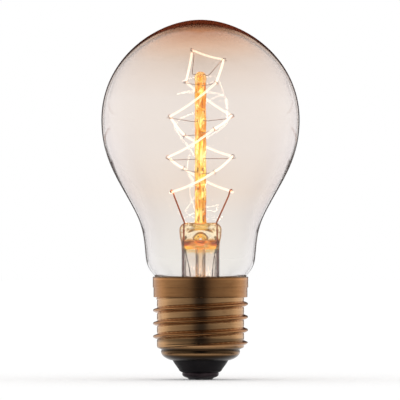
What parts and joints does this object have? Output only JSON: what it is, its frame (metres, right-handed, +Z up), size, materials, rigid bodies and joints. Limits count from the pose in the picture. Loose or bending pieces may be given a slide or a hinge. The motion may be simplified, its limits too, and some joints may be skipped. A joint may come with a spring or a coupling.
{
  "type": "filament bulb",
  "caption": "Pear-shaped amber glass lamp bulb with a double-spiral glowing filament on a glass rod and an antique brass screw cap.",
  "frame": {"origin": "middle of the centre contact's face, at the lamp's lowest point", "axes": "+Z up the lamp's axis towards the crown; +X to the right and -Y towards the viewer in the picture; the side lead's solder is at +Y"},
  "size_m": [0.0552, 0.055, 0.1],
  "materials": {
    "bulb_glass": "clear, amber tinted towards the crown",
    "stem_glass": "clear, lit amber by the filament",
    "rod_glass": "clear, lit amber by the filament",
    "support_wire": "dark molybdenum wire",
    "filament": "glowing coiled tungsten",
    "inner_lead": "nickel wire lit orange",
    "seal_wire": "red copper-clad wire",
    "outer_lead": "dull copper wire",
    "cap_brass": "antique bronzed brass, satin",
    "cement": "matt basing cement",
    "black_glass": "glossy black moulded glass",
    "contact": "darkened plate",
    "solder": "dull solder"
  },
  "bodies": {
    "root": {"glass_bulb": "bulb_glass", "stem_flare": "stem_glass", "exhaust_tube": "stem_glass", "glass_rod": "rod_glass", "support_hook_01": "support_wire", "support_hook_02": "support_wire", "support_hook_03": "support_wire", "support_hook_04": "support_wire", "support_hook_05": "support_wire", "support_hook_06": "support_wire", "support_hook_07": "support_wire", "support_hook_08": "support_wire", "support_hook_09": "support_wire", "support_hook_10": "support_wire", "support_hook_11": "support_wire", "support_hook_12": "support_wire", "filament": "filament", "inner_lead_left": "inner_lead", "inner_lead_right": "inner_lead", "seal_wire_left": "seal_wire", "seal_wire_right": "seal_wire", "outer_lead_centre": "outer_lead", "outer_lead_side": "outer_lead", "screw_shell": "cap_brass", "basing_cement": "cement", "insulator": "black_glass", "centre_contact": "contact", "centre_solder": "solder", "side_solder": "solder"}
  },
  "joints": []
}
